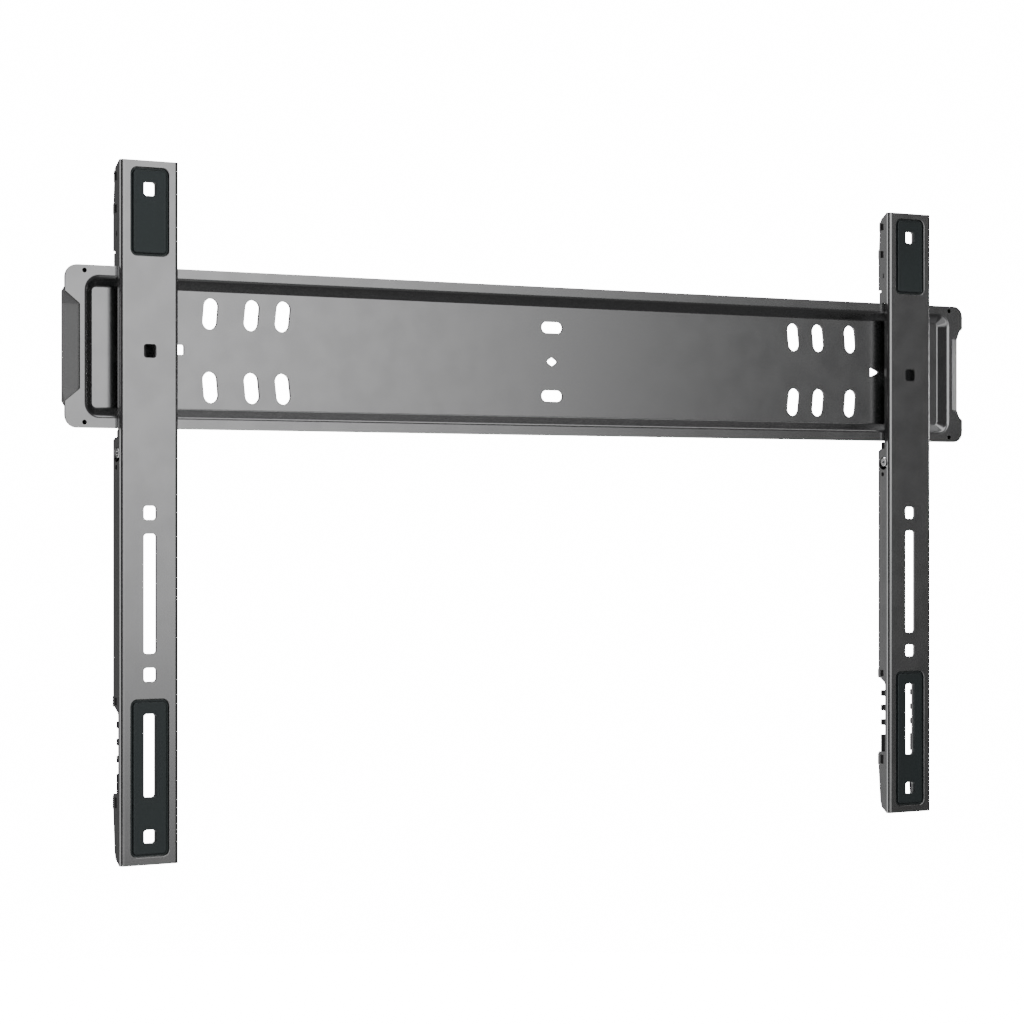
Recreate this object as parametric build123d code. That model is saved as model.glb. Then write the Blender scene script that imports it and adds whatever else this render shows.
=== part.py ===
from build123d import *

import os
from math import atan, atan2, degrees, tan

# A flat-screen wall bracket: a pressed wall plate with two upright strips hooked over it.
# The strips bolt to the back of a screen. Each one hangs on the plate's top edge, slides
# sideways on it, and has a sprung latch under the bottom edge that stops it being lifted off.
#
# Row frame, in millimetres: the origin is the middle of the plate's back face, which lies on
# the wall. +X is to the right of someone facing the wall, +Y goes into the wall, +Z is up.
#
# Strip frame, used for all that a strip carries: x = 0 on the strip's middle plane, y = 0 on
# the front of its web and growing towards the wall, z = 0 at the middle of its length. A drop
# is measured down from the strip's top end, and a rise up from its bottom end.

# Sheet and clearances
PLATE_SHEET = 2.0
STRIP_SHEET = 2.0
HANG_CLEARANCE = 0.3
SLIDE_CLEARANCE = 0.35
SEAT_CLEARANCE = 0.15
SNAP_CLEARANCE = 0.2
PIN_CLEARANCE = 0.05

# Wall plate
PLATE_WIDTH = 707.6
PLATE_HEIGHT = 100.0
PLATE_CORNER_R = 8.0
RECESS_DEPTH = 5.6
RIM_EDGE = 7.1
RIM_END = 13.8
RECESS_RUN = 5.6
RECESS_CORNER_R = 8.4
BEND_INNER_R = 1.2
WALL_SLOT_LENGTH = 19.6
WALL_SLOT_WIDTH = 10.0
WALL_SLOT_RISE = 23.1
WALL_SLOT_OFFSETS = (203.0, 225.0, 253.8)
CENTRE_SLOT_LENGTH = 16.9
CENTRE_SLOT_WIDTH = 7.5
DIAMOND_WIDTH = 10.2
DIAMOND_HEIGHT = 6.5
DIAMOND_CORNER_R = 1.2
SIDE_MARK_X = 271.9
ARROW_LENGTH = 9.2
ARROW_HEIGHT = 7.6
ARROW_CORNER_R = 0.9
SQUARE_MARK = 6.2
SQUARE_MARK_R = 1.1
CORNER_HOLE_D = 3.0
CORNER_HOLE_INSET_X = 12.6
CORNER_HOLE_INSET_Z = 3.5
NOTCH_DEPTH = 9.7
NOTCH_MOUTH = 67.4
NOTCH_FLOOR = 52.1
NOTCH_CORNER_R = 1.5

# End caps
CAP_RECESS_GAP = 1.8
CAP_SIDE_INSET = 0.3
CAP_ARM_INSET = 3.0
CAP_ARM_THICKNESS = 2.2
CAP_ARM_END_GAP = 1.5
CAP_ARM_CORNER_R = 5.0
CAP_SHOULDER = 4.5
CAP_LIP_THICKNESS = 1.9
CAP_WALL_GAP = 0.3
CAP_BOSS_R = 3.2
CAP_PIN_RECESS = 1.5

# Upright strips
STRIP_SPACING = 600.0
STRIP_WIDTH = 39.0
STRIP_HEIGHT = 435.0
STRIP_OVER_PLATE = 65.5
STRIP_STANDOFF = 5.5
STRIP_BEND_R = 2.5
STRIP_BEND_INNER_R = 0.5
FLANGE_WALL_GAP = 0.9
LOOP_PROUD = 0.75
LOOP_R = 1.2
END_STEP = 0.9
TOP_END_SLOPE = ((4.5, 2.8), (8.0, 1.7), (24.5, 0.6), (35.5, 0.0))
BOTTOM_END_SLOPE = ((4.0, 3.6), (8.5, 2.1), (33.5, 0.0))
RELIEF_RISE = 8.0
RELIEF_HEIGHT = 1.5
RELIEF_DEPTH = 3.0
HOOK_THICKNESS = 3.2
HOOK_OVERLAP = 4.6
LIFT_HEIGHT = 5.5
NOTCH_CHAMFER_DEPTH = 2.8
NOTCH_CHAMFER_DROP = 1.8
GRIP_ZONE_RISE = 44.3
GRIP_ZONE_HEIGHT = 50.7
GRIP_ZONE_FLANGE = 4.6
GRIP_ZONE_R = 3.0
GRIP_ZONE_LOWER_R = 1.2
GRIP_ZONE_CURVE = 4.0
GRIP_ZONE_EASE = 1.0

# Screen screw holes in the strip's web
SQUARE_HOLE = 8.5
SQUARE_HOLE_R = 1.9
HOLE_PITCH = 100.0
END_HOLE_INSET = 17.5
MIDDLE_SLOT_SPACE = 13.0
LOWER_SLOT_SPACE = 24.2

# Pad recesses and pads
PAD_RECESS_SIDE = 6.85
PAD_RECESS_R = 4.0
PAD_RECESS_DEPTH = 1.9
UPPER_RECESS_DROP = 4.5
UPPER_RECESS_HEIGHT = 54.2
LOWER_RECESS_RISE = 5.1
LOWER_RECESS_HEIGHT = 97.0
PAD_GAP = 1.25
PAD_PROUD = 0.2
PAD_EDGE_R = 0.8
PAD_LIP = 0.6
RECESS_EDGE_R = 0.6
RECESS_BACK_R = 1.4

# Snap windows in the flanges
WINDOW_FRONT = 6.3
WINDOW_DEPTH = 3.5
UPPER_WINDOW_HEIGHT = 5.0
UPPER_WINDOW_DROPS = (27.5, 7.5)
UPPER_KEEPER_WINDOW_RISE = 99.0
UPPER_KEEPER_WINDOW_HEIGHT = 4.5
LOWER_KEEPER_WINDOW_RISE = 35.5
LOWER_KEEPER_WINDOW_HEIGHT = 6.5
OVAL_HOLE_DROP = 45.5
OVAL_HOLE_Y = 6.6
OVAL_HOLE_LENGTH = 3.6
OVAL_HOLE_WIDTH = 1.5

# Upper insert, a moulded frame snapped between the flanges
INSERT_SIDE = 6.35
INSERT_DEPTH = 4.8
INSERT_BRIDGE_DEPTH = 3.3
INSERT_BRIDGE = 3.5
INSERT_END = 1.5

# Latch, with its heights measured down from the plate's bottom edge
LATCH_TRAVEL = 6.0
LATCH_GAP = 0.5
NOSE_THICKNESS = 3.5
NOSE_STEP = 0.5
NOSE_INSET = 0.4
NOSE_LEAD_IN = 1.2
LATCH_INSET = 0.6
LATCH_TAIL_DROP = 31.0
PIVOT_DROP = 15.2
PIVOT_Y = 7.2
PIVOT_PIN_D = 3.0
PIVOT_BORE_D = 1.8
PIN_HEAD_D = 6.2
PIN_HEAD_INSET = 0.5
PIN_HEAD_EDGE_R = 0.4
PIN_COUNTERSINK = 0.35
PIVOT_WINDOW_D = 9.1
PIVOT_WINDOW_SHIFT = 0.75
PIVOT_WINDOW_DROP = 1.0
HOUSING_CHEEK = 2.6
HOUSING_FLOOR = 1.2
HOUSING_TOP_DROP = 10.4
HOUSING_BOTTOM_DROP = 26.1
HOUSING_INSET = 0.5
LOCATING_PIP_D = 3.0
LOCATING_PIP_DROP = 24.0

# Torsion spring
SPRING_WIRE_D = 1.4
SPRING_COIL_D = 6.2
SPRING_PITCH = 1.6
SPRING_TURN = 420.0
SPRING_BAR_DROP = 5.3
SPRING_BEND_R = 1.6
SPRING_LEG = 5.0
SPRING_HOOK = 3.4
SPRING_SIDE_GAP = 0.6

# Pull wire
WIRE_D = 2.4
WIRE_Y = 7.0
WIRE_SIDE_GAP = 0.55
WIRE_TOP_DROP = 28.0
WIRE_BEND_R = 1.5
WIRE_HOOK = 5.0

# Release slider
RAIL_WIDTH = 7.3
RAIL_THICKNESS = 1.0
RAIL_LIP = 1.7
RAIL_TAIL = 4.0
TIE_HEIGHT = 4.0
TOP_TIE_DROP = 10.0
LUG_WIDTH = 3.1
LUG_WALL = 0.8
LUG_HEIGHT = 7.0
GRIP_WALL_GAP = 0.7
GRIP_HEIGHT = 4.3
GRIP_RISE = 86.5
GRIP_PITCH = 10.55
GRIP_COUNT = 3
GRIP_BLOCK_RISE = 43.9
GRIP_BLOCK_HEIGHT = 12.4

# Keepers that hold the slider against the web
KEEPER_INSET = 0.6
KEEPER_CHAMFER = 1.0
UPPER_KEEPER_BELOW_WINDOW = 1.0
UPPER_KEEPER_HEIGHT = 7.0
LOWER_KEEPER_HEIGHT = 6.8
KEEPER_LEG_WIDTH = 9.6
KEEPER_LEG_RISE = 9.5
UPPER_STOP_GAP = 1.0
LOWER_STOP_GAP = 0.7


def from_top(drop):
    """The height in the strip frame of a place that hangs below the strip's top end."""
    return STRIP_HEIGHT / 2 - drop


def from_bottom(rise):
    """The height in the strip frame of a place that stands above the strip's bottom end."""
    return rise - STRIP_HEIGHT / 2


def span_up(low, height):
    """The two ends of a stretch that starts at low."""
    return (low, low + height)


# Sizes that follow from the ones above
PLATE_DEPTH = RECESS_DEPTH + PLATE_SHEET
RIM_BACK_Y = PLATE_SHEET - PLATE_DEPTH
RECESS_HALF_X = PLATE_WIDTH / 2 - RIM_END
RECESS_HALF_Z = PLATE_HEIGHT / 2 - RIM_EDGE
RECESS_TAPER = degrees(atan(RECESS_RUN / RECESS_DEPTH))
RECESS_BACK_OFFSET = PLATE_SHEET * tan(atan(RECESS_DEPTH / RECESS_RUN) / 2)
BEND_OUTER_R = BEND_INNER_R + PLATE_SHEET
WALL_DEPTH = PLATE_DEPTH + STRIP_STANDOFF
RIM_FRONT = STRIP_STANDOFF
RIM_BACK = STRIP_STANDOFF + PLATE_SHEET
FLANGE_DEPTH = WALL_DEPTH - FLANGE_WALL_GAP
PLATE_TOP = from_top(STRIP_OVER_PLATE)
PLATE_BOTTOM = PLATE_TOP - PLATE_HEIGHT
CHANNEL_HALF = STRIP_WIDTH / 2 - STRIP_SHEET
SLIDE_HALF = CHANNEL_HALF - SLIDE_CLEARANCE
SEAT_HALF = CHANNEL_HALF - SEAT_CLEARANCE
PAD_RECESS_WIDTH = STRIP_WIDTH - 2 * PAD_RECESS_SIDE
UPPER_RECESS = span_up(from_top(UPPER_RECESS_DROP + UPPER_RECESS_HEIGHT), UPPER_RECESS_HEIGHT)
LOWER_RECESS = span_up(from_bottom(LOWER_RECESS_RISE), LOWER_RECESS_HEIGHT)
PAN_BACK = PAD_RECESS_DEPTH + STRIP_SHEET
UPPER_WINDOWS = [
    span_up(from_top(drop + UPPER_WINDOW_HEIGHT), UPPER_WINDOW_HEIGHT) for drop in UPPER_WINDOW_DROPS
]
UPPER_KEEPER_WINDOW = span_up(from_bottom(UPPER_KEEPER_WINDOW_RISE), UPPER_KEEPER_WINDOW_HEIGHT)
LOWER_KEEPER_WINDOW = span_up(from_bottom(LOWER_KEEPER_WINDOW_RISE), LOWER_KEEPER_WINDOW_HEIGHT)
WINDOW_BACK = WINDOW_FRONT + WINDOW_DEPTH
GRIP_ZONE = span_up(from_bottom(GRIP_ZONE_RISE), GRIP_ZONE_HEIGHT)
GRIP_BLOCK = span_up(from_bottom(GRIP_BLOCK_RISE), GRIP_BLOCK_HEIGHT)
UPPER_KEEPER = span_up(UPPER_KEEPER_WINDOW[0] - UPPER_KEEPER_BELOW_WINDOW, UPPER_KEEPER_HEIGHT)
LOWER_KEEPER_TOP = GRIP_BLOCK[0] - LATCH_TRAVEL - LOWER_STOP_GAP
LOWER_KEEPER = span_up(LOWER_KEEPER_TOP - LOWER_KEEPER_HEIGHT, LOWER_KEEPER_HEIGHT)
RAIL_FRONT = PAN_BACK + HANG_CLEARANCE
RAIL_BACK = RAIL_FRONT + RAIL_THICKNESS
RAIL_INNER = SLIDE_HALF - RAIL_WIDTH
RAIL_TOP = UPPER_KEEPER[1] + UPPER_STOP_GAP + LATCH_TRAVEL + LUG_HEIGHT
RAIL_BOTTOM = LOWER_KEEPER[0] - RAIL_TAIL
KEEPER_FRONT = RAIL_BACK + SLIDE_CLEARANCE
GRIP_BACK = WALL_DEPTH - GRIP_WALL_GAP
PIVOT_Z = PLATE_BOTTOM - PIVOT_DROP
NOSE_TOP = PLATE_BOTTOM - LATCH_GAP
NOSE_BOTTOM = NOSE_TOP - NOSE_THICKNESS
NOSE_SIDE_BOTTOM = PIVOT_Z + SPRING_COIL_D / 2 + LATCH_TRAVEL + SLIDE_CLEARANCE
SPRING_RISE = SPRING_PITCH * SPRING_TURN / 360
SPRING_INNER_X = CHANNEL_HALF - SPRING_SIDE_GAP - SPRING_WIRE_D / 2 - SPRING_RISE
CHEEK_OUTER = SPRING_INNER_X - SPRING_WIRE_D / 2 - SNAP_CLEARANCE
CHEEK_INNER = CHEEK_OUTER - HOUSING_CHEEK
LATCH_HALF_WIDTH = CHEEK_INNER - SLIDE_CLEARANCE
HOUSING_FRONT = STRIP_SHEET + SEAT_CLEARANCE
SHROUD_FRONT = PIVOT_Y + SPRING_COIL_D / 2 + SLIDE_CLEARANCE
SHROUD_TOP = NOSE_SIDE_BOTTOM - LATCH_TRAVEL - SLIDE_CLEARANCE
LATCH_FRONT = HOUSING_FRONT + HOUSING_FLOOR + SLIDE_CLEARANCE
LATCH_BACK = FLANGE_DEPTH - LATCH_INSET
NOSE_FRONT = LATCH_FRONT + NOSE_STEP
NOSE_BACK = FLANGE_DEPTH - NOSE_INSET
WIRE_TOP = PLATE_BOTTOM - WIRE_TOP_DROP
WIRE_BOTTOM = RAIL_TOP - LUG_HEIGHT / 2
WIRE_BORE_D = WIRE_D + 2 * SNAP_CLEARANCE
WIRE_X = SLIDE_HALF - WIRE_SIDE_GAP - WIRE_D / 2


def block(x0, x1, y0, y1, z0, z1):
    """A plain box between two corners."""
    return Pos((x0 + x1) / 2, (y0 + y1) / 2, (z0 + z1) / 2) * Box(x1 - x0, y1 - y0, z1 - z0)


def both_sides(shape):
    """A shape together with its mirror image across the middle plane."""
    return shape + mirror(shape, about=Plane.YZ)


def front_prism(sketch, y0, y1):
    """A sketch drawn in X and Z, extruded from depth y0 back to depth y1."""
    return Pos(0, y1, 0) * extrude(Plane.XZ * sketch, y1 - y0)


def side_prism(sketch, x0, x1):
    """A sketch drawn in Y and Z, extruded from x0 to x1."""
    return Pos(x0, 0, 0) * extrude(Plane.YZ * sketch, x1 - x0)


def cross_rod(diameter, y, z, x0, x1):
    """A round rod that runs along X."""
    return side_prism(Pos(y, z) * Circle(diameter / 2), x0, x1)


def polygon(points, radii=None):
    """A closed outline, with a fillet at each corner that radii names by its index."""
    face = make_face(Polyline(*points, close=True))
    for index, radius in (radii or {}).items():
        corner = face.vertices().sort_by_distance((*points[index], 0))[0]
        face = fillet(corner, radius)
    return face


# Wall plate


def recess_pan(half_x, half_z, corner_r, y_front, y_back):
    """The tapered block of the pressed recess, widest at the front."""
    start = Plane(origin=(0, y_front, 0), x_dir=(1, 0, 0), z_dir=(0, 1, 0))
    mouth = start * RectangleRounded(2 * half_x, 2 * half_z, corner_r)
    return extrude(mouth, y_back - y_front, taper=RECESS_TAPER)


def bend_edges(shape, y, half_x, half_z):
    """The ring of edges at depth y that runs round a rectangle of these half sizes."""

    def on_ring(edge):
        box = edge.bounding_box()
        flat = abs(box.min.Y - y) < 1e-3 and abs(box.max.Y - y) < 1e-3
        reach_x = max(abs(box.min.X), abs(box.max.X))
        reach_z = max(abs(box.min.Z), abs(box.max.Z))
        inside = reach_x < half_x + 0.01 and reach_z < half_z + 0.01
        return flat and inside and (reach_x > half_x - corner or reach_z > half_z - corner)

    corner = RECESS_CORNER_R
    return shape.edges().filter_by(on_ring)


def wall_slots():
    """Levelling slots, each tangent to a circle round the plate's middle."""
    slots = Sketch()
    for offset in WALL_SLOT_OFFSETS:
        for x in (-offset, offset):
            for z in (-WALL_SLOT_RISE, WALL_SLOT_RISE):
                tilt = degrees(atan2(x, -z))
                slots += Pos(x, z) * Rot(0, 0, tilt) * SlotOverall(WALL_SLOT_LENGTH, WALL_SLOT_WIDTH)
    for z in (-WALL_SLOT_RISE, WALL_SLOT_RISE):
        slots += Pos(0, z) * SlotOverall(CENTRE_SLOT_LENGTH, CENTRE_SLOT_WIDTH)
    return slots


def sighting_marks():
    """The centre diamond, a square mark on the left and an arrow that points outwards on the right."""
    half_w = DIAMOND_WIDTH / 2
    half_h = DIAMOND_HEIGHT / 2
    corners = {index: DIAMOND_CORNER_R for index in range(4)}
    marks = polygon([(-half_w, 0), (0, half_h), (half_w, 0), (0, -half_h)], corners)
    square = RectangleRounded(SQUARE_MARK, SQUARE_MARK, SQUARE_MARK_R)
    marks += Pos(-SIDE_MARK_X - SQUARE_MARK / 2, 0) * square
    half_a = ARROW_HEIGHT / 2
    arrow = [(SIDE_MARK_X, half_a), (SIDE_MARK_X, -half_a), (SIDE_MARK_X + ARROW_LENGTH, 0)]
    return marks + polygon(arrow, {index: ARROW_CORNER_R for index in range(3)})


def corner_hole_places():
    """The four snap-pin holes, as X and Z."""
    x = PLATE_WIDTH / 2 - CORNER_HOLE_INSET_X
    z = PLATE_HEIGHT / 2 - CORNER_HOLE_INSET_Z
    return [(sx * x, sz * z) for sx in (-1, 1) for sz in (-1, 1)]


def end_notch(side):
    """The finger notch at one end of the plate."""
    outer = PLATE_WIDTH / 2
    inner = outer - NOTCH_DEPTH
    beyond = outer + NOTCH_DEPTH
    slope = (NOTCH_MOUTH - NOTCH_FLOOR) / 2 / NOTCH_DEPTH
    far = NOTCH_MOUTH / 2 + slope * NOTCH_DEPTH
    points = [
        (side * inner, NOTCH_FLOOR / 2),
        (side * inner, -NOTCH_FLOOR / 2),
        (side * beyond, -far),
        (side * beyond, far),
    ]
    return polygon(points, {0: NOTCH_CORNER_R, 1: NOTCH_CORNER_R})


def make_wall_plate():
    """One pressed sheet: a flat rim round a sloping-walled recess that lies on the wall."""
    rim = RectangleRounded(PLATE_WIDTH, PLATE_HEIGHT, PLATE_CORNER_R)
    plate = front_prism(rim, -PLATE_DEPTH, RIM_BACK_Y)
    grow = RECESS_BACK_OFFSET
    plate += recess_pan(
        RECESS_HALF_X + grow, RECESS_HALF_Z + grow, RECESS_CORNER_R + grow, RIM_BACK_Y, 0
    )
    plate -= recess_pan(RECESS_HALF_X, RECESS_HALF_Z, RECESS_CORNER_R, -PLATE_DEPTH, -PLATE_SHEET)
    floor_x = RECESS_HALF_X - RECESS_RUN
    floor_z = RECESS_HALF_Z - RECESS_RUN
    plate = fillet(bend_edges(plate, -PLATE_DEPTH, RECESS_HALF_X, RECESS_HALF_Z), BEND_OUTER_R)
    plate = fillet(bend_edges(plate, RIM_BACK_Y, RECESS_HALF_X + grow, RECESS_HALF_Z + grow), BEND_INNER_R)
    plate = fillet(bend_edges(plate, -PLATE_SHEET, floor_x, floor_z), BEND_INNER_R)
    plate = fillet(bend_edges(plate, 0, floor_x + grow, floor_z + grow), BEND_OUTER_R)
    holes = wall_slots() + sighting_marks()
    for x, z in corner_hole_places():
        holes += Pos(x, z) * Circle(CORNER_HOLE_D / 2)
    for side in (-1, 1):
        holes += end_notch(side)
    return plate - front_prism(holes, -2 * PLATE_DEPTH, PLATE_DEPTH)


# End caps


def make_end_cap():
    """The right-hand cap: a moulding behind the rim that fills the notch as a finger scoop."""
    outer = PLATE_WIDTH / 2
    inner = RECESS_HALF_X + CAP_RECESS_GAP
    arm_x = outer - CAP_ARM_INSET
    side_x = outer - CAP_SIDE_INSET
    mouth = NOTCH_MOUTH / 2
    shoulder = mouth + CAP_SHOULDER
    arm_z = PLATE_HEIGHT / 2 - CAP_ARM_END_GAP
    arms = [(inner, arm_z), (arm_x, arm_z), (arm_x, -arm_z), (inner, -arm_z)]
    cap = front_prism(
        polygon(arms, {1: CAP_ARM_CORNER_R, 2: CAP_ARM_CORNER_R}),
        RIM_BACK_Y,
        RIM_BACK_Y + CAP_ARM_THICKNESS,
    )
    body = [
        (inner, shoulder),
        (arm_x, shoulder),
        (side_x, mouth),
        (side_x, -mouth),
        (arm_x, -shoulder),
        (inner, -shoulder),
    ]
    cap += front_prism(polygon(body), RIM_BACK_Y, -CAP_WALL_GAP)
    for x, z in corner_hole_places():
        if x < 0:
            continue
        boss = Pos(x, z) * Circle(CAP_BOSS_R)
        cap += front_prism(boss, RIM_BACK_Y, RIM_BACK_Y + CAP_ARM_THICKNESS)
        pin = Pos(x, z) * Circle(CORNER_HOLE_D / 2 - SEAT_CLEARANCE)
        cap += front_prism(pin, -PLATE_DEPTH + CAP_PIN_RECESS, RIM_BACK_Y)
    return cap - end_scoop(side_x)


def end_scoop(side_x):
    """What the finger scoop takes away: a wedge with sloping ends."""
    inner_x = PLATE_WIDTH / 2 - NOTCH_DEPTH
    mouth_x = PLATE_WIDTH / 2
    lip_y = -CAP_LIP_THICKNESS
    slope = (lip_y - RIM_BACK_Y) / (side_x - inner_x)
    beyond_x = side_x + 1.0
    section = [
        (inner_x, RIM_BACK_Y),
        (beyond_x, RIM_BACK_Y),
        (beyond_x, RIM_BACK_Y + slope * (beyond_x - inner_x)),
    ]
    wedge = extrude(polygon(section), NOTCH_MOUTH)
    wedge = Pos(0, 0, -NOTCH_MOUTH / 2) * wedge
    for sign in (-1, 1):
        root = Vector(inner_x, RIM_BACK_Y, sign * NOTCH_FLOOR / 2)
        corner = Vector(mouth_x, RIM_BACK_Y, sign * NOTCH_MOUTH / 2)
        deep = Vector(side_x, lip_y, sign * NOTCH_FLOOR / 2)
        normal = (corner - root).cross(deep - root)
        if normal.Z * sign > 0:
            normal = -normal
        wedge = split(wedge, bisect_by=Plane(origin=root, z_dir=normal), keep=Keep.TOP)
    return wedge


# Upright strips


def end_profile(slope):
    """How the flange runs in towards one end: distance from the end, and depth there."""
    return [(0.0, STRIP_SHEET + END_STEP)] + [(away, FLANGE_DEPTH - short) for away, short in slope]


def flange_outline():
    """The side view of a strip, in depth and height."""
    top = STRIP_HEIGHT / 2
    hook_front = RIM_BACK + HANG_CLEARANCE
    hook_back = hook_front + HOOK_THICKNESS
    seat = PLATE_TOP + HANG_CLEARANCE
    relief = PLATE_TOP + RELIEF_RISE
    notch = RIM_FRONT - HANG_CLEARANCE
    notch_bottom = PLATE_BOTTOM - LIFT_HEIGHT
    points = [(0.0, -top), (0.0, top)]
    points += [(y, from_top(drop)) for drop, y in end_profile(TOP_END_SLOPE)]
    points += [
        (FLANGE_DEPTH, relief + RELIEF_HEIGHT),
        (FLANGE_DEPTH - RELIEF_DEPTH, relief + RELIEF_HEIGHT),
        (FLANGE_DEPTH - RELIEF_DEPTH, relief),
        (hook_back, relief),
        (hook_back, PLATE_TOP - HOOK_OVERLAP),
        (hook_front, PLATE_TOP - HOOK_OVERLAP),
        (hook_front, seat),
        (notch, seat),
        (notch, notch_bottom),
        (FLANGE_DEPTH - NOTCH_CHAMFER_DEPTH, notch_bottom),
        (FLANGE_DEPTH, notch_bottom - NOTCH_CHAMFER_DROP),
    ]
    grip_upper = len(points)
    zone_bottom, zone_top = GRIP_ZONE
    points += [
        (FLANGE_DEPTH, zone_top + GRIP_ZONE_CURVE),
        (GRIP_ZONE_FLANGE, zone_top - GRIP_ZONE_EASE),
        (GRIP_ZONE_FLANGE, zone_bottom),
        (FLANGE_DEPTH, zone_bottom),
    ]
    points += [(y, from_bottom(rise)) for rise, y in reversed(end_profile(BOTTOM_END_SLOPE))]
    curves = {
        grip_upper: GRIP_ZONE_R,
        grip_upper + 1: GRIP_ZONE_R,
        grip_upper + 2: GRIP_ZONE_LOWER_R,
        grip_upper + 3: GRIP_ZONE_LOWER_R,
    }
    return polygon(points, curves)


def edge_depth(height):
    """How deep a flange's back edge is at a height, near the strip's two ends."""
    from_end = STRIP_HEIGHT / 2 - abs(height)
    profile = end_profile(TOP_END_SLOPE if height > 0 else BOTTOM_END_SLOPE)
    for (d0, y0), (d1, y1) in zip(profile, profile[1:]):
        if from_end <= d1:
            return y0 + (y1 - y0) * (from_end - d0) / (d1 - d0)
    return FLANGE_DEPTH


def all_windows():
    return (*UPPER_WINDOWS, UPPER_KEEPER_WINDOW, LOWER_KEEPER_WINDOW)


def window_loops():
    """The flange stands a little proud behind each snap window."""
    loops = Sketch()
    for low, high in all_windows():
        middle = (low + high) / 2
        back = edge_depth(middle) + LOOP_PROUD
        height = high - low + 2 * LOOP_R
        depth = back - WINDOW_FRONT
        loops += Pos(WINDOW_FRONT + depth / 2, middle) * RectangleRounded(depth, height, LOOP_R)
    return loops


def flange_holes():
    """What is cut through both flanges."""
    holes = Sketch()
    for low, high in all_windows():
        middle = (low + high) / 2
        holes += Pos(WINDOW_FRONT + WINDOW_DEPTH / 2, middle) * Rectangle(WINDOW_DEPTH, high - low)
    oval = Rot(0, 0, 90) * SlotOverall(OVAL_HOLE_LENGTH, OVAL_HOLE_WIDTH)
    holes += Pos(OVAL_HOLE_Y, from_top(OVAL_HOLE_DROP)) * oval
    window_middle = Pos(PIVOT_Y - PIVOT_WINDOW_SHIFT, PIVOT_Z - PIVOT_WINDOW_DROP)
    holes += window_middle * Circle(PIVOT_WINDOW_D / 2)
    holes += Pos(PIVOT_Y, PLATE_BOTTOM - LOCATING_PIP_DROP) * Circle(LOCATING_PIP_D / 2)
    return holes


def screw_holes():
    """The web's square holes and slots, cut through web, pads and pad recesses alike."""
    lowest = from_bottom(END_HOLE_INSET)
    highest = from_top(END_HOLE_INSET)
    spaces = int((highest - lowest) // HOLE_PITCH)
    places = [(lowest + count * HOLE_PITCH, SQUARE_HOLE) for count in range(spaces)]
    places.append((highest, SQUARE_HOLE))
    places.append((lowest + HOLE_PITCH / 2, HOLE_PITCH - 2 * LOWER_SLOT_SPACE))
    places.append((lowest + HOLE_PITCH * 3 / 2, HOLE_PITCH - 2 * MIDDLE_SLOT_SPACE))
    holes = Sketch()
    for middle, height in places:
        holes += Pos(0, middle) * RectangleRounded(SQUARE_HOLE, height, SQUARE_HOLE_R)
    return front_prism(holes, -1.0, 2 * PAN_BACK)


def pad_recess(span, grow, y0, y1):
    """A rounded block over a pad recess, larger all round by grow."""
    low, high = span
    outline = RectangleRounded(PAD_RECESS_WIDTH + 2 * grow, high - low + 2 * grow, PAD_RECESS_R + grow)
    return front_prism(Pos(0, (low + high) / 2) * outline, y0, y1)


def make_strip():
    """One folded channel with its holes, windows, hooks and pressed pad recesses."""
    half = STRIP_WIDTH / 2
    top = STRIP_HEIGHT / 2
    reach = FLANGE_DEPTH + 2 * LOOP_PROUD
    outside = [(-half, 0), (half, 0), (half, reach), (-half, reach)]
    inside = [
        (-CHANNEL_HALF, STRIP_SHEET),
        (CHANNEL_HALF, STRIP_SHEET),
        (CHANNEL_HALF, 2 * reach),
        (-CHANNEL_HALF, 2 * reach),
    ]
    section = polygon(outside, {0: STRIP_BEND_R, 1: STRIP_BEND_R})
    section -= polygon(inside, {0: STRIP_BEND_INNER_R, 1: STRIP_BEND_INNER_R})
    strip = Pos(0, 0, -top) * extrude(section, STRIP_HEIGHT)
    strip &= side_prism(flange_outline() + window_loops(), -STRIP_WIDTH, STRIP_WIDTH)
    strip -= side_prism(flange_holes(), -STRIP_WIDTH, STRIP_WIDTH)
    for span in (UPPER_RECESS, LOWER_RECESS):
        pan = pad_recess(span, STRIP_SHEET, STRIP_SHEET / 2, PAN_BACK)
        pan = fillet(pan.faces().sort_by(Axis.Y)[-1].edges(), RECESS_BACK_R)
        strip += pan
        strip -= pad_recess(span, 0.0, -1.0, PAD_RECESS_DEPTH)
        mouth = strip.faces().sort_by(Axis.Y)[0].edges()
        low, high = span
        rim = mouth.filter_by(
            lambda edge, low=low, high=high: low - 0.1 < edge.bounding_box().min.Z
            and edge.bounding_box().max.Z < high + 0.1
            and abs(edge.center().X) < PAD_RECESS_WIDTH / 2 + 0.1
        )
        strip = fillet(rim, RECESS_EDGE_R)
    return strip - screw_holes()


def make_pad(span):
    """A rubber pad: a lip that fills the recess's floor and a raised field with rounded edges."""
    field = pad_recess(span, -PAD_GAP, -PAD_PROUD, PAD_RECESS_DEPTH)
    field = fillet(field.faces().sort_by(Axis.Y)[0].edges(), PAD_EDGE_R)
    lip = pad_recess(span, -SEAT_CLEARANCE, PAD_RECESS_DEPTH - PAD_LIP, PAD_RECESS_DEPTH)
    return field + lip - screw_holes()


def snap_tabs(windows, y_back, inner=SEAT_HALF - 1.0):
    """Tabs that reach from a moulding's sides into the flange windows."""
    tabs = None
    for low, high in windows:
        tab = block(
            inner,
            STRIP_WIDTH / 2 - SNAP_CLEARANCE,
            WINDOW_FRONT + SNAP_CLEARANCE,
            y_back,
            low + SNAP_CLEARANCE,
            high - SNAP_CLEARANCE,
        )
        tabs = tab if tabs is None else tabs + tab
    return both_sides(tabs)


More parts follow.
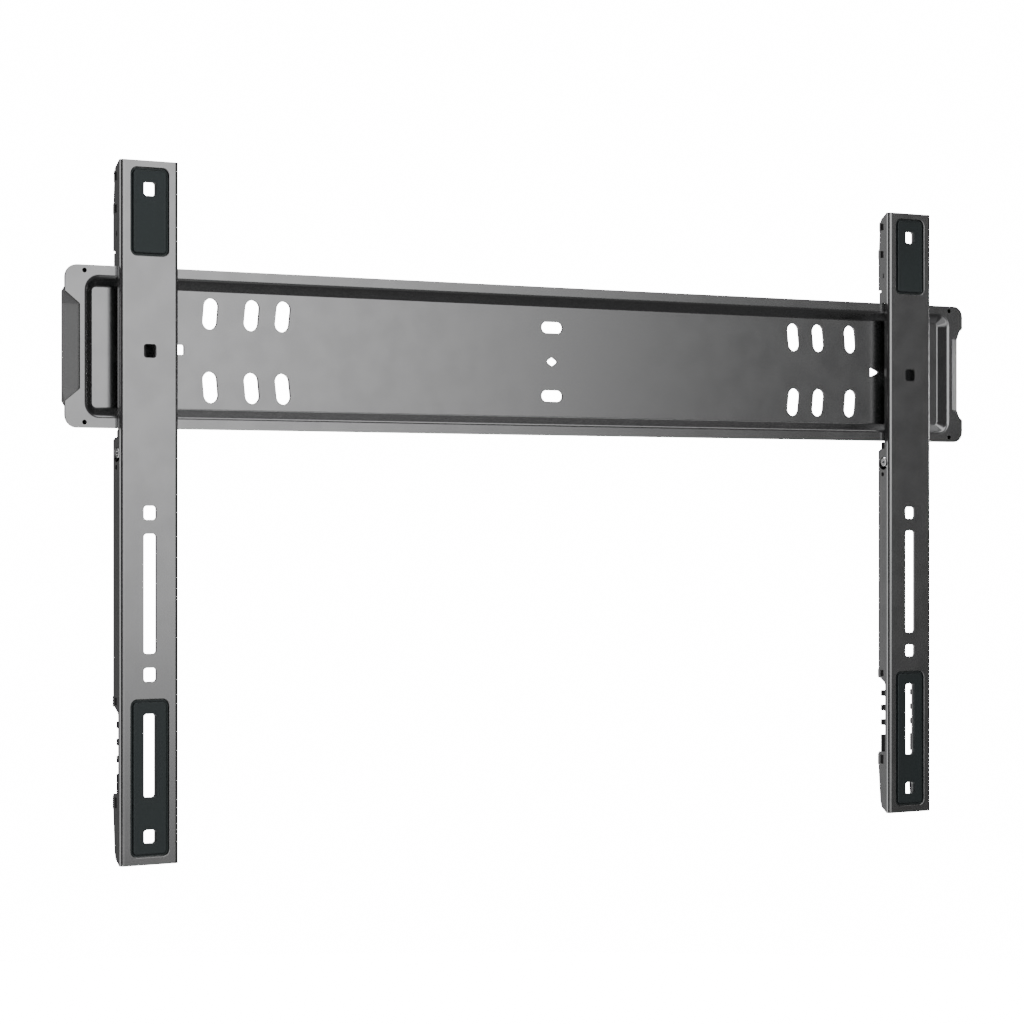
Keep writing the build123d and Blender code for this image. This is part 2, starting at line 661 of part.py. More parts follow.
def make_upper_insert():
    """A moulded frame round the top screw hole, snapped into the four upper windows."""
    low = UPPER_WINDOWS[0][0] - INSERT_END
    high = UPPER_WINDOWS[-1][1] + INSERT_END
    inner = SEAT_HALF - INSERT_SIDE
    front = PAN_BACK + HANG_CLEARANCE
    back = front + INSERT_DEPTH
    insert = both_sides(block(inner, SEAT_HALF, front, back, low, high))
    for z0, z1 in ((low, low + INSERT_BRIDGE), (high - INSERT_BRIDGE, high)):
        insert += block(-inner, inner, front, front + INSERT_BRIDGE_DEPTH, z0, z1)
    return insert + snap_tabs(UPPER_WINDOWS, back)


def make_keeper(span, window):
    """A moulded bridge across the channel that keeps the release slider against the web.

    Its tabs go through the flanges beside the bridge, and fill the whole window out there.
    """
    low, high = span
    keeper = block(-SEAT_HALF, SEAT_HALF, KEEPER_FRONT, FLANGE_DEPTH - KEEPER_INSET, low, high)
    keeper = chamfer(keeper.edges().filter_by(Axis.X).group_by(Axis.Y)[-1], KEEPER_CHAMFER)
    tab_low = max(low, window[0])
    tab_high = min(high, window[1])
    tab_back = WINDOW_BACK - SNAP_CLEARANCE
    keeper += snap_tabs(((tab_low, tab_high),), tab_back)
    return keeper + snap_tabs((window,), tab_back, CHANNEL_HALF)


def make_lower_keeper():
    """The lower bridge, with a leg at each side that runs down past the last screw hole."""
    low = LOWER_KEEPER[0]
    foot = from_bottom(KEEPER_LEG_RISE)
    leg = [
        (KEEPER_FRONT, LOWER_KEEPER[1]),
        (KEEPER_FRONT, foot),
        (edge_depth(foot) - KEEPER_INSET, foot),
        (edge_depth(low) - KEEPER_INSET, low),
        (FLANGE_DEPTH - 2 * KEEPER_CHAMFER, LOWER_KEEPER[1]),
    ]
    legs = both_sides(side_prism(polygon(leg), SEAT_HALF - KEEPER_LEG_WIDTH, SEAT_HALF))
    return make_keeper(LOWER_KEEPER, LOWER_KEEPER_WINDOW) + legs


# Latch


def make_latch():
    """The sprung bolt: a nose under the plate's edge on a body that slides in the housing."""
    half = LATCH_HALF_WIDTH
    latch = block(-half, half, LATCH_FRONT, LATCH_BACK, PLATE_BOTTOM - LATCH_TAIL_DROP, NOSE_TOP)
    nose = [
        (NOSE_FRONT, NOSE_BOTTOM),
        (NOSE_BACK, NOSE_BOTTOM),
        (NOSE_BACK, NOSE_TOP - NOSE_LEAD_IN),
        (NOSE_BACK - NOSE_LEAD_IN, NOSE_TOP),
        (NOSE_FRONT, NOSE_TOP),
    ]
    latch += side_prism(polygon(nose), -SLIDE_HALF, SLIDE_HALF)
    side_inner = CHEEK_OUTER + SLIDE_CLEARANCE
    nose_middle = (NOSE_TOP + NOSE_BOTTOM) / 2
    side = block(side_inner, SLIDE_HALF, NOSE_FRONT, NOSE_BACK, NOSE_SIDE_BOTTOM, nose_middle)
    latch += both_sides(side)
    trim = [
        (LATCH_BACK - NOSE_LEAD_IN, NOSE_TOP + 1.0),
        (LATCH_BACK + 1.0, NOSE_TOP + 1.0),
        (NOSE_BACK + 1.0, NOSE_TOP - NOSE_LEAD_IN),
        (NOSE_BACK, NOSE_TOP - NOSE_LEAD_IN),
        (NOSE_BACK - NOSE_LEAD_IN, NOSE_TOP),
    ]
    latch -= side_prism(polygon(trim), -STRIP_WIDTH, STRIP_WIDTH)
    slot_width = PIVOT_PIN_D + 2 * HANG_CLEARANCE
    slot_length = slot_width + LATCH_TRAVEL
    slot = Pos(PIVOT_Y, PIVOT_Z + LATCH_TRAVEL / 2) * Rot(0, 0, 90) * SlotOverall(slot_length, slot_width)
    latch -= side_prism(slot, -STRIP_WIDTH, STRIP_WIDTH)
    bar_z = PLATE_BOTTOM - SPRING_BAR_DROP
    groove = SPRING_WIRE_D / 2 + SNAP_CLEARANCE
    bar_y = PIVOT_Y + (SPRING_COIL_D - SPRING_WIRE_D) / 2
    reach = SPRING_INNER_X + groove
    latch -= block(-reach, reach, bar_y - groove, 2 * LATCH_BACK, bar_z - groove, bar_z + groove)
    return latch - cross_rod(WIRE_BORE_D, WIRE_Y, WIRE_TOP, -STRIP_WIDTH, STRIP_WIDTH)


def make_latch_housing():
    """A moulded tray behind the web: cheeks guide the latch and carry its pin, shrouds cover the coils."""
    low = PLATE_BOTTOM - HOUSING_BOTTOM_DROP
    high = PLATE_BOTTOM - HOUSING_TOP_DROP
    housing = block(-CHEEK_OUTER, CHEEK_OUTER, HOUSING_FRONT, HOUSING_FRONT + HOUSING_FLOOR, low, high)
    back = FLANGE_DEPTH - HOUSING_INSET
    housing += both_sides(block(CHEEK_INNER, CHEEK_OUTER, HOUSING_FRONT, back, low, high))
    housing += both_sides(block(CHEEK_INNER, SEAT_HALF, SHROUD_FRONT, back, low, SHROUD_TOP))
    pip_z = PLATE_BOTTOM - LOCATING_PIP_DROP
    pip_d = LOCATING_PIP_D - 2 * SNAP_CLEARANCE
    pip_end = STRIP_WIDTH / 2 - 3 * SNAP_CLEARANCE
    housing += both_sides(cross_rod(pip_d, PIVOT_Y, pip_z, CHEEK_OUTER - 1.0, pip_end))
    bore = PIVOT_PIN_D + 2 * PIN_CLEARANCE
    housing -= cross_rod(bore, PIVOT_Y, PIVOT_Z, -STRIP_WIDTH, STRIP_WIDTH)
    hook_y, hook_z = spring_leg_end()
    hook_bore = SPRING_WIRE_D + 2 * SNAP_CLEARANCE
    return housing - cross_rod(hook_bore, hook_y, hook_z, -STRIP_WIDTH, STRIP_WIDTH)


def make_latch_pin():
    """The hollow pin that the spring coils sit on, with a flat head in each flange's round window."""
    end = STRIP_WIDTH / 2 - PIN_HEAD_INSET
    head_inner = SPRING_INNER_X + SPRING_RISE + SPRING_WIRE_D / 2 + SNAP_CLEARANCE
    head = cross_rod(PIN_HEAD_D, PIVOT_Y, PIVOT_Z, head_inner, end)
    head = fillet(head.faces().sort_by(Axis.X)[-1].edges(), PIN_HEAD_EDGE_R)
    pin = cross_rod(PIVOT_PIN_D, PIVOT_Y, PIVOT_Z, -end, end) + both_sides(head)
    pin -= cross_rod(PIVOT_BORE_D, PIVOT_Y, PIVOT_Z, -STRIP_WIDTH, STRIP_WIDTH)
    mouths = pin.edges().filter_by(GeomType.CIRCLE)
    mouths = [edge for edge in mouths if edge.radius < PIVOT_PIN_D / 2 and abs(edge.center().X) > head_inner]
    return chamfer(mouths, PIN_COUNTERSINK)


def spring_leg_end():
    """Where the spring's outer leg ends, in depth and height."""
    radius = (SPRING_COIL_D - SPRING_WIRE_D) / 2
    leave = Vector(1, 0, 0).rotate(Axis.Z, -SPRING_TURN)
    heading = leave.rotate(Axis.Z, -90)
    end = Vector(PIVOT_Y, PIVOT_Z) + leave * radius + heading * SPRING_LEG
    return end.X, end.Y


def make_latch_spring():
    """A double torsion spring: a coil at each side, one bar that lifts the latch, two fixed legs."""
    radius = (SPRING_COIL_D - SPRING_WIRE_D) / 2
    outer_x = SPRING_INNER_X + SPRING_RISE
    axis = Plane(origin=(SPRING_INNER_X, PIVOT_Y, PIVOT_Z), x_dir=(0, 1, 0), z_dir=(1, 0, 0))
    helix = axis.location * Helix(SPRING_PITCH, SPRING_RISE, radius, lefthand=True)
    start = helix @ 0
    end = helix @ 1
    round_wire = Circle(SPRING_WIRE_D / 2)
    coil = sweep(Plane(origin=start, z_dir=helix % 0) * round_wire, path=helix, is_frenet=True)
    hook_y, hook_z = spring_leg_end()
    leg_path = FilletPolyline(
        end, (outer_x, hook_y, hook_z), (outer_x - SPRING_HOOK, hook_y, hook_z), radius=SPRING_BEND_R
    )
    leg = sweep(Plane(origin=end, z_dir=leg_path % 0) * round_wire, path=leg_path)
    joints = Pos(start) * Sphere(SPRING_WIRE_D / 2) + Pos(end) * Sphere(SPRING_WIRE_D / 2)
    side = coil + leg + joints
    bar_z = PLATE_BOTTOM - SPRING_BAR_DROP
    bar_path = FilletPolyline(
        start,
        (SPRING_INNER_X, start.Y, bar_z),
        (-SPRING_INNER_X, start.Y, bar_z),
        (-start.X, start.Y, start.Z),
        radius=SPRING_BEND_R,
    )
    bar = sweep(Plane(origin=start, z_dir=bar_path % 0) * round_wire, path=bar_path)
    return bar + both_sides(side)


def make_pull_wire():
    """A bent wire that joins the latch's tail to the release slider."""
    inner = WIRE_X - WIRE_HOOK
    points = [
        (inner, WIRE_Y, WIRE_BOTTOM),
        (WIRE_X, WIRE_Y, WIRE_BOTTOM),
        (WIRE_X, WIRE_Y, WIRE_TOP),
        (-WIRE_X, WIRE_Y, WIRE_TOP),
        (-WIRE_X, WIRE_Y, WIRE_BOTTOM),
        (-inner, WIRE_Y, WIRE_BOTTOM),
    ]
    path = FilletPolyline(*points, radius=WIRE_BEND_R)
    return sweep(Plane(origin=points[0], z_dir=path % 0) * Circle(WIRE_D / 2), path=path)


def make_release_slider():
    """The grip frame: two rails with finger ribs, open in the middle for the screen's screws."""
    rail = block(RAIL_INNER, SLIDE_HALF, RAIL_FRONT, RAIL_BACK, RAIL_BOTTOM, RAIL_TOP)
    lip_front = STRIP_SHEET + SLIDE_CLEARANCE
    rail += block(SLIDE_HALF - RAIL_LIP, SLIDE_HALF, lip_front, RAIL_BACK, RAIL_BOTTOM, RAIL_TOP)
    lug_back = WIRE_Y + WIRE_D / 2 + LUG_WALL
    lug_outer = RAIL_INNER + LUG_WIDTH
    rail += block(RAIL_INNER, lug_outer, RAIL_FRONT, lug_back, RAIL_TOP - LUG_HEIGHT, RAIL_TOP)
    for count in range(GRIP_COUNT):
        low = from_bottom(GRIP_RISE - count * GRIP_PITCH) - GRIP_HEIGHT / 2
        rib = block(RAIL_INNER, SLIDE_HALF, RAIL_FRONT, GRIP_BACK, low, low + GRIP_HEIGHT)
        rail += fillet(rib.edges().filter_by(Axis.X).group_by(Axis.Y)[-1], GRIP_HEIGHT / 4)
    grip_block = block(RAIL_INNER, SLIDE_HALF, RAIL_FRONT, GRIP_BACK, *GRIP_BLOCK)
    rail += fillet(grip_block.edges().filter_by(Axis.X).group_by(Axis.Y)[-1], GRIP_HEIGHT / 8)
    slider = both_sides(rail)
    for high in (RAIL_TOP - TOP_TIE_DROP, RAIL_BOTTOM + TIE_HEIGHT):
        slider += block(-RAIL_INNER, RAIL_INNER, RAIL_FRONT, RAIL_BACK, high - TIE_HEIGHT, high)
    return slider - cross_rod(WIRE_BORE_D, WIRE_Y, WIRE_BOTTOM, -STRIP_WIDTH, STRIP_WIDTH)


def strip_pieces():
    """Every piece that one strip carries, in the strip frame."""
    return {
        "interface_strip": make_strip(),
        "upper_pad": make_pad(UPPER_RECESS),
        "lower_pad": make_pad(LOWER_RECESS),
        "upper_insert": make_upper_insert(),
        "upper_keeper": make_keeper(UPPER_KEEPER, UPPER_KEEPER_WINDOW),
        "lower_keeper": make_lower_keeper(),
        "latch_housing": make_latch_housing(),
        "latch_pin": make_latch_pin(),
        "latch_spring": make_latch_spring(),
        "latch": make_latch(),
        "pull_wire": make_pull_wire(),
        "release_slider": make_release_slider(),
    }


def all_pieces():
    """Every node of the bracket, in the row frame."""
    cap = make_end_cap()
    pieces = {
        "wall_plate": make_wall_plate(),
        "end_cap_right": cap,
        "end_cap_left": mirror(cap, about=Plane.YZ),
    }
    plate_middle = (PLATE_TOP + PLATE_BOTTOM) / 2
    for name, shape in strip_pieces().items():
        for side, x in (("left", -STRIP_SPACING / 2), ("right", STRIP_SPACING / 2)):
            pieces[f"{name}_{side}"] = Pos(x, -WALL_DEPTH, -plate_middle) * shape
    return pieces


os.makedirs("parts", exist_ok=True)
for node, shape in all_pieces().items():
    export_step(shape, f"parts/{node}.step")
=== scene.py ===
import math

import bmesh
import bpy
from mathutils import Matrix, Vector


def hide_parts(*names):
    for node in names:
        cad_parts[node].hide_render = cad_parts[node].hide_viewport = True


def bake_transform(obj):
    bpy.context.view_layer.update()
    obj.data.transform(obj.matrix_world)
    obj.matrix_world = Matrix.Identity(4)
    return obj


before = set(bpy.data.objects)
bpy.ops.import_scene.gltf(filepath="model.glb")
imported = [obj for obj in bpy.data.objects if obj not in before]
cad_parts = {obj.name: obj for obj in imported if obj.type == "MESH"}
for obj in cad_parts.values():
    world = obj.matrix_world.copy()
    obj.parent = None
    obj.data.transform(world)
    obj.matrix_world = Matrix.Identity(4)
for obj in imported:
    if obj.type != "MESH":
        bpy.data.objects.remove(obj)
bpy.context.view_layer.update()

# The frame is in metres: +X right, +Y into the wall, +Z up, origin on the wall plane
MM = 0.001
SIDES = {"left": -1, "right": 1}

# Camera, as the photograph has it: level, from the left
CAMERA_PLACE = (-1.021, -1.6301, -0.102)
CAMERA_AIM = (0.5192, 0.8546, 0.0)
LENS = 100.0
SENSOR = 36.0
SHIFT_Y = 0.0008
CLIP_START = 0.05
CLIP_END = 50.0

# Strip frame: x from the strip's middle plane, y from the web's front, z from its half height
STRIP_X = 300.0
STRIP_FRONT_Y = -13.1
STRIP_MIDDLE_Z = -102.0

# Torsion spring, in the strip frame. Its coil starts at SPRING_INNER_X and grows outwards by
# SPRING_RISE over SPRING_TURN degrees. The bar joins the two coils, and a leg with a hook ends each.
PIVOT_Y = 7.2
PIVOT_Z = 36.8
SPRING_WIRE_D = 1.4
SPRING_RADIUS = 2.4
SPRING_INNER_X = 14.333
SPRING_RISE = 1.867
SPRING_TURN = 420.0
SPRING_BAR_Z = 46.7
SPRING_BEND_R = 1.6
SPRING_LEG = 5.0
SPRING_HOOK = 3.4
COIL_STEPS = 84
BEND_STEPS = 8
TUBE_SIDES = 20
QUAD_CORNERS = 4

# Most of a noise pattern lies between these values
NOISE_LOW = 0.3
NOISE_HIGH = 0.7

# Coated steel
STEEL_DARK = (0.330, 0.330, 0.333)
STEEL_LIGHT = (0.372, 0.372, 0.374)
STEEL_METALLIC = 0.94
STEEL_SMOOTHEST = 0.195
STEEL_ROUGHEST = 0.225
STEEL_PATCH_SCALE = 60.0
FLAKE_SCALE = 5200.0
FLAKE_SHARE = 0.30
COAT_CLOUD_SCALE = 14.0
COAT_CLOUD_SHARE = 0.40
PEEL_SCALE = 520.0
PEEL_STRENGTH = 0.06
PEEL_HEIGHT = 0.00002

# Moulded plastic
SPECK_SCALE = 2600.0
SPECK_SHARE = 0.5
MOULD_CLOUD_SCALE = 60.0
MOULD_CLOUD_SHARE = 0.5
SPECK_HEIGHT = 0.00003
MOULD_SMOOTHER = 0.04
MOULD_ROUGHER = 0.05

# The end caps' snap pins, from the plate's middle; the shade in their recessed holes is painted on
# them as black with no sheen
SNAP_PIN_X = 341.2
SNAP_PIN_Z = 46.5
SNAP_PIN_R = 1.5
SNAP_PIN_FADE = 0.3
# Painted shade: the colour laid on the pins in place of the shade in their holes
SNAP_PIN_SHADE = (0.003, 0.003, 0.003)

# Pad rubber
RUBBER_DARK = (0.007, 0.010, 0.011)
RUBBER_LIGHT = (0.011, 0.015, 0.016)
RUBBER_TINT = (0.88, 0.99, 1.0)
RUBBER_SHEEN = 0.92
RUBBER_SMOOTHEST = 0.43
RUBBER_ROUGHEST = 0.51
RUBBER_GRAIN_SCALE = 3200.0
RUBBER_GRAIN_SHARE = 0.4
RUBBER_CLOUD_SCALE = 45.0
RUBBER_CLOUD_SHARE = 0.6
RUBBER_GRAIN_STRENGTH = 0.3
RUBBER_GRAIN_HEIGHT = 0.00004

# Floor
FLOOR_DROP = 1.25
FLOOR_RADIUS = 5.5
FLOOR_SIDES = 96
FLOOR_WHITE = (0.88, 0.88, 0.88)
FLOOR_ROUGHNESS = 0.9
FLOOR_FADE_START = 0.25
FLOOR_FADE_END = 0.98

# What the camera sees round the bracket: the backdrop, and the floor's glow before it fades
BACKDROP = 20.0
FLOOR_GLOW = 14.0

# The sky's own light, which grows from AMBIENT to OVERHEAD between two heights in degrees
AMBIENT = 0.08
OVERHEAD = 0.30
OVERHEAD_START = 35
OVERHEAD_END = 80

# Soft panels of light: strength, four edges in azimuth, four edges in height, all in degrees.
# A panel grows from its first edge to its second and fades from its third to its fourth.
# Azimuth is 0 towards -Y and grows towards +X.
PANELS = (
    (2.25, (-34, -22, 24.5, 37.5), (-9.0, 2.5, 13, 17)),
    (1.80, (-34, -22, 24.5, 37.5), (32, 38, 78, 90)),
    (1.75, (30, 38, 57, 63), (38, 42, 55, 60)),
    (2.10, (-145, -122, -104, -92), (-60, -30, 50, 80)),
    (0.10, (-200, -190, -140, -120), (-60, -30, 50, 80)),
    (0.95, (-70, -50, 0, 14), (-34, -26, -13, -7)),
    (0.60, (-70, -40, 12, 40), (-80, -65, -26, -15)),
    (0.70, (95, 120, 190, 200), (-80, -65, -22, -10)),
    (0.70, (-200, -190, -120, -95), (-80, -65, -22, -10)),
    (0.80, (125, 150, 188, 198), (-22, -12, 50, 80)),
)

# Small lamp beside the right end, for the sheen on the right end cap: metres, degrees and watts
KICKER_PLACE = (0.86, -0.145, 0.0)
KICKER_TARGET = (0.352, -0.008, 0.0)
KICKER_SIZE = 0.14
KICKER_SPREAD = 16.0
KICKER_POWER = 0.006


# Shader helpers


class Nodes:
    """A node tree with a few short ways to add to it."""

    def __init__(self, tree):
        self.tree = tree
        self.tree.nodes.clear()

    def add(self, kind, **settings):
        node = self.tree.nodes.new(kind)
        for name, value in settings.items():
            setattr(node, name, value)
        return node

    def link(self, source, target):
        self.tree.links.new(source, target)

    def feed(self, socket, value):
        """Puts a number or a colour on a socket, or links another socket to it."""
        if isinstance(value, bpy.types.NodeSocket):
            self.link(value, socket)
        else:
            socket.default_value = value

    def math(self, operation, *values):
        node = self.add("ShaderNodeMath", operation=operation)
        for socket, value in zip(node.inputs, values):
            self.feed(socket, value)
        return node.outputs[0]

    def multiply(self, first, second):
        return self.math("MULTIPLY", first, second)

    def smooth(self, value, start, end, low=0.0, high=1.0):
        """A smooth step from low to high while value goes from start to end."""
        node = self.add("ShaderNodeMapRange", interpolation_type="SMOOTHSTEP")
        self.feed(node.inputs["Value"], value)
        self.feed(node.inputs["From Min"], start)
        self.feed(node.inputs["From Max"], end)
        self.feed(node.inputs["To Min"], low)
        self.feed(node.inputs["To Max"], high)
        return node.outputs["Result"]

    def spread(self, noise, low, high):
        """Spreads a noise pattern smoothly from low to high."""
        return self.smooth(noise, NOISE_LOW, NOISE_HIGH, low, high)

    def noise(self, vector, scale, detail=2.0, roughness=0.5):
        node = self.add("ShaderNodeTexNoise")
        self.link(vector, node.inputs["Vector"])
        self.feed(node.inputs["Scale"], scale)
        self.feed(node.inputs["Detail"], detail)
        self.feed(node.inputs["Roughness"], roughness)
        return node.outputs["Fac"]

    def bump(self, height, strength, distance):
        node = self.add("ShaderNodeBump")
        self.feed(node.inputs["Strength"], strength)
        self.feed(node.inputs["Distance"], distance)
        self.link(height, node.inputs["Height"])
        return node.outputs["Normal"]

    def split(self, vector):
        """The three parts of a vector, which can be named or taken in order."""
        node = self.add("ShaderNodeSeparateXYZ")
        self.link(vector, node.inputs["Vector"])
        return node.outputs

    def mix_colour(self, factor, first, second):
        node = self.add("ShaderNodeMix", data_type="RGBA")
        self.feed(node.inputs["Factor"], factor)
        self.feed(node.inputs["A"], first)
        self.feed(node.inputs["B"], second)
        return node.outputs["Result"]

    def two_tone(self, fine, fine_share, cloud, cloud_share, dark, light):
        """A colour between dark and light that follows a fine pattern and a cloudy one."""
        fine_part = self.multiply(fine, fine_share)
        cloud_part = self.multiply(cloud, cloud_share)
        tone = self.math("ADD", fine_part, cloud_part)
        return self.mix_colour(tone, opaque(dark), opaque(light))


def opaque(colour):
    return (*colour, 1.0)


def new_material(name):
    """A material with a Principled shader; returns it, its nodes and the shader."""
    material = bpy.data.materials.new(name)
    material.use_nodes = True
    nodes = Nodes(material.node_tree)
    shader = nodes.add("ShaderNodeBsdfPrincipled")
    output = nodes.add("ShaderNodeOutputMaterial")
    nodes.link(shader.outputs["BSDF"], output.inputs["Surface"])
    return material, nodes, shader


def object_place(nodes):
    return nodes.add("ShaderNodeTexCoord").outputs["Object"]


# Finishes


def coated_steel():
    """Satin metallic coating: a very fine flake, faint clouding and a faint orange peel."""
    material, nodes, shader = new_material("coated_steel")
    place = object_place(nodes)
    flake = nodes.noise(place, FLAKE_SCALE, detail=2.0)
    cloud = nodes.noise(place, COAT_CLOUD_SCALE, detail=3.0)
    colour = nodes.two_tone(
        flake, FLAKE_SHARE, cloud, COAT_CLOUD_SHARE, STEEL_DARK, STEEL_LIGHT
    )
    nodes.link(colour, shader.inputs["Base Color"])
    shader.inputs["Metallic"].default_value = STEEL_METALLIC
    patches = nodes.noise(place, STEEL_PATCH_SCALE, detail=4.0)
    rough = nodes.spread(patches, STEEL_SMOOTHEST, STEEL_ROUGHEST)
    nodes.link(rough, shader.inputs["Roughness"])
    peel = nodes.noise(place, PEEL_SCALE, detail=2.0)
    nodes.link(nodes.bump(peel, PEEL_STRENGTH, PEEL_HEIGHT), shader.inputs["Normal"])
    return material


def pin_shade_mask(nodes, place):
    """0 on the end caps' four snap pins, where the shade in their holes is painted, and 1 on
    everything round them.
    """
    parts = nodes.split(place)
    away = []
    for axis, middle in (("X", SNAP_PIN_X), ("Z", SNAP_PIN_Z)):
        from_middle = nodes.math("ABSOLUTE", parts[axis])
        offset = nodes.math("SUBTRACT", from_middle, middle * MM)
        away.append(nodes.multiply(offset, offset))
    distance = nodes.math("SQRT", nodes.math("ADD", *away))
    return nodes.smooth(distance, SNAP_PIN_R * MM, (SNAP_PIN_R + SNAP_PIN_FADE) * MM)


def moulded_plastic(name, dark, light, rough, grain, sheen, paint_pin_shade=False):
    """Moulded plastic with a fine spark-eroded grain; it can also paint the shade in the snap pins'
    holes.
    """
    material, nodes, shader = new_material(name)
    place = object_place(nodes)
    speck = nodes.noise(place, SPECK_SCALE, detail=3.0, roughness=0.6)
    cloud = nodes.noise(place, MOULD_CLOUD_SCALE, detail=2.0)
    colour = nodes.two_tone(speck, SPECK_SHARE, cloud, MOULD_CLOUD_SHARE, dark, light)
    if paint_pin_shade:
        # Painted shade: the snap pins in their recessed holes turn black and lose their sheen
        mask = pin_shade_mask(nodes, place)
        colour = nodes.mix_colour(mask, opaque(SNAP_PIN_SHADE), colour)
        sheen = nodes.multiply(mask, sheen)
    nodes.link(colour, shader.inputs["Base Color"])
    roughness = nodes.spread(speck, rough - MOULD_SMOOTHER, rough + MOULD_ROUGHER)
    nodes.link(roughness, shader.inputs["Roughness"])
    nodes.link(nodes.bump(speck, grain, SPECK_HEIGHT), shader.inputs["Normal"])
    nodes.feed(shader.inputs["Specular IOR Level"], sheen)
    return material


def pad_rubber():
    """Slate grey rubber with a fine matt texture."""
    material, nodes, shader = new_material("pad_rubber")
    place = object_place(nodes)
    grain = nodes.noise(place, RUBBER_GRAIN_SCALE, detail=3.0, roughness=0.65)
    cloud = nodes.noise(place, RUBBER_CLOUD_SCALE, detail=3.0)
    colour = nodes.two_tone(
        grain, RUBBER_GRAIN_SHARE, cloud, RUBBER_CLOUD_SHARE, RUBBER_DARK, RUBBER_LIGHT
    )
    nodes.link(colour, shader.inputs["Base Color"])
    roughness = nodes.spread(grain, RUBBER_SMOOTHEST, RUBBER_ROUGHEST)
    nodes.link(roughness, shader.inputs["Roughness"])
    shader.inputs["Specular IOR Level"].default_value = RUBBER_SHEEN
    shader.inputs["Specular Tint"].default_value = opaque(RUBBER_TINT)
    texture = nodes.bump(grain, RUBBER_GRAIN_STRENGTH, RUBBER_GRAIN_HEIGHT)
    nodes.link(texture, shader.inputs["Normal"])
    return material


def drawn_wire(name, scale, detail, dark, light, smoothest, roughest):
    """Bare metal with the faint marks of drawing."""
    material, nodes, shader = new_material(name)
    marks = nodes.noise(object_place(nodes), scale, detail=detail)
    colour = nodes.mix_colour(marks, opaque(dark), opaque(light))
    nodes.link(colour, shader.inputs["Base Color"])
    shader.inputs["Metallic"].default_value = 1.0
    roughness = nodes.spread(marks, smoothest, roughest)
    nodes.link(roughness, shader.inputs["Roughness"])
    return material


SLOTS = {
    "coated_steel": coated_steel(),
    "cap_plastic": moulded_plastic(
        "cap_plastic",
        dark=(0.160, 0.160, 0.162),
        light=(0.195, 0.195, 0.197),
        rough=0.30,
        grain=0.10,
        sheen=0.85,
        # paints the shade in the snap pins' recessed holes black
        paint_pin_shade=True,
    ),
    "black_plastic": moulded_plastic(
        "black_plastic",
        dark=(0.004, 0.004, 0.0045),
        light=(0.008, 0.008, 0.009),
        rough=0.42,
        grain=0.25,
        sheen=0.22,
    ),
    "pad_rubber": pad_rubber(),
    "bright_steel": drawn_wire(
        "bright_steel",
        scale=900.0,
        detail=3.0,
        dark=(0.88, 0.88, 0.89),
        light=(0.97, 0.97, 0.97),
        smoothest=0.14,
        roughest=0.22,
    ),
    "wire_steel": drawn_wire(
        "wire_steel",
        scale=700.0,
        detail=4.0,
        dark=(0.42, 0.42, 0.43),
        light=(0.60, 0.60, 0.61),
        smoothest=0.24,
        roughest=0.36,
    ),
}
NODE_SLOTS = {
    "wall_plate": "coated_steel",
    "end_cap": "cap_plastic",
    "interface_strip": "coated_steel",
    "upper_pad": "pad_rubber",
    "lower_pad": "pad_rubber",
    "upper_insert": "black_plastic",
    "upper_keeper": "black_plastic",
    "lower_keeper": "black_plastic",
    "latch_housing": "black_plastic",
    "latch_pin": "bright_steel",
    "latch_spring": "bright_steel",
    "latch": "black_plastic",
    "pull_wire": "wire_steel",
    "release_slider": "black_plastic",
}


def dress_nodes():
    """Gives every node its own finish."""
    for name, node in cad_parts.items():
        slot = NODE_SLOTS[name.removesuffix("_left").removesuffix("_right")]
        node.data.materials.clear()
        node.data.materials.append(SLOTS[slot])


# Latch springs


def strip_point(side, x, y, z):
    """A point of the strip frame, in millimetres, as a place in metres."""
    return Vector((SIDES[side] * STRIP_X + x, STRIP_FRONT_Y + y, STRIP_MIDDLE_Z + z)) * MM


def rounded_corner(before, corner, after, radius):
    """Points along a fillet at a corner of a path."""
    back = (before - corner).normalized()
    ahead = (after - corner).normalized()
    half = back.angle(ahead) / 2
    reach = radius / math.tan(half)
    start = corner + back * reach
    end = corner + ahead * reach
    centre = corner + (back + ahead).normalized() * (radius / math.sin(half))
    first = start - centre
    last = end - centre
    sweep = first.angle(last)
    points = []
    for step in range(BEND_STEPS + 1):
        share = step / BEND_STEPS
        first_weight = math.sin((1 - share) * sweep) / math.sin(sweep)
        last_weight = math.sin(share * sweep) / math.sin(sweep)
        points.append(centre + first * first_weight + last * last_weight)
    return points


def spring_path():
    """The wire's centre line in the strip frame: hook, leg, coil, bar, coil, leg, hook."""
    end_turn = -math.radians(SPRING_TURN)
    coil = []
    for step in range(COIL_STEPS + 1):
        share = step / COIL_STEPS
        turn = end_turn * share
        y = PIVOT_Y + SPRING_RADIUS * math.cos(turn)
        z = PIVOT_Z + SPRING_RADIUS * math.sin(turn)
        coil.append(Vector((SPRING_INNER_X + SPRING_RISE * share, y, z)))
    outward = Vector((0, math.cos(end_turn), math.sin(end_turn)))
    heading = Vector((0, outward.z, -outward.y))
    foot = coil[-1] + heading * SPRING_LEG
    hook = foot - Vector((SPRING_HOOK, 0, 0))
    leg = [*rounded_corner(coil[-1], foot, hook, SPRING_BEND_R), hook]
    top = Vector((SPRING_INNER_X, PIVOT_Y + SPRING_RADIUS, SPRING_BAR_Z))
    middle = Vector((0, top.y, top.z))
    shoulder = rounded_corner(coil[0], top, middle, SPRING_BEND_R)
    half = [*reversed(leg), *reversed(coil), *shoulder]
    other = [Vector((-point.x, point.y, point.z)) for point in reversed(half)]
    return half + other


